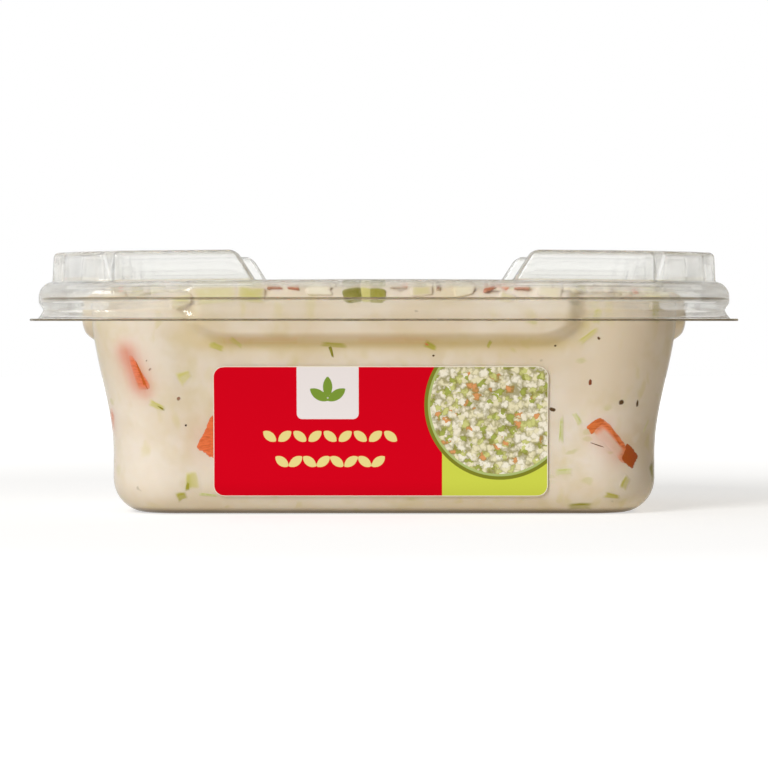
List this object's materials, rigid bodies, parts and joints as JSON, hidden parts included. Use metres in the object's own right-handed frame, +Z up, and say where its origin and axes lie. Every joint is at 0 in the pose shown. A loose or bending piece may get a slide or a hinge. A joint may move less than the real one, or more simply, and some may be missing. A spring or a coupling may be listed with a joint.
{
  "type": "tub of coleslaw",
  "caption": "Clear rectangular tub filled with creamy coleslaw, shut by a clear press-fit lid with L-shaped stacking lugs, with a printed label on the front wall.",
  "frame": {"origin": "centre of the base, on the surface that the tub stands on", "axes": "+X along the long side, +Y away from the labelled front, +Z up"},
  "size_m": [0.152, 0.108, 0.0566],
  "materials": {
    "tub_plastic": "clear thermoformed PET, glossy",
    "lid_plastic": "clear thermoformed PET, glossy",
    "coleslaw": "creamy dressing over chopped cabbage, carrot and green pepper",
    "label_print": "varnished print on film, fields of red, lime and white"
  },
  "bodies": {
    "root": {"tub": "tub_plastic", "lid": "lid_plastic", "coleslaw": "coleslaw", "label": "label_print"}
  },
  "joints": []
}
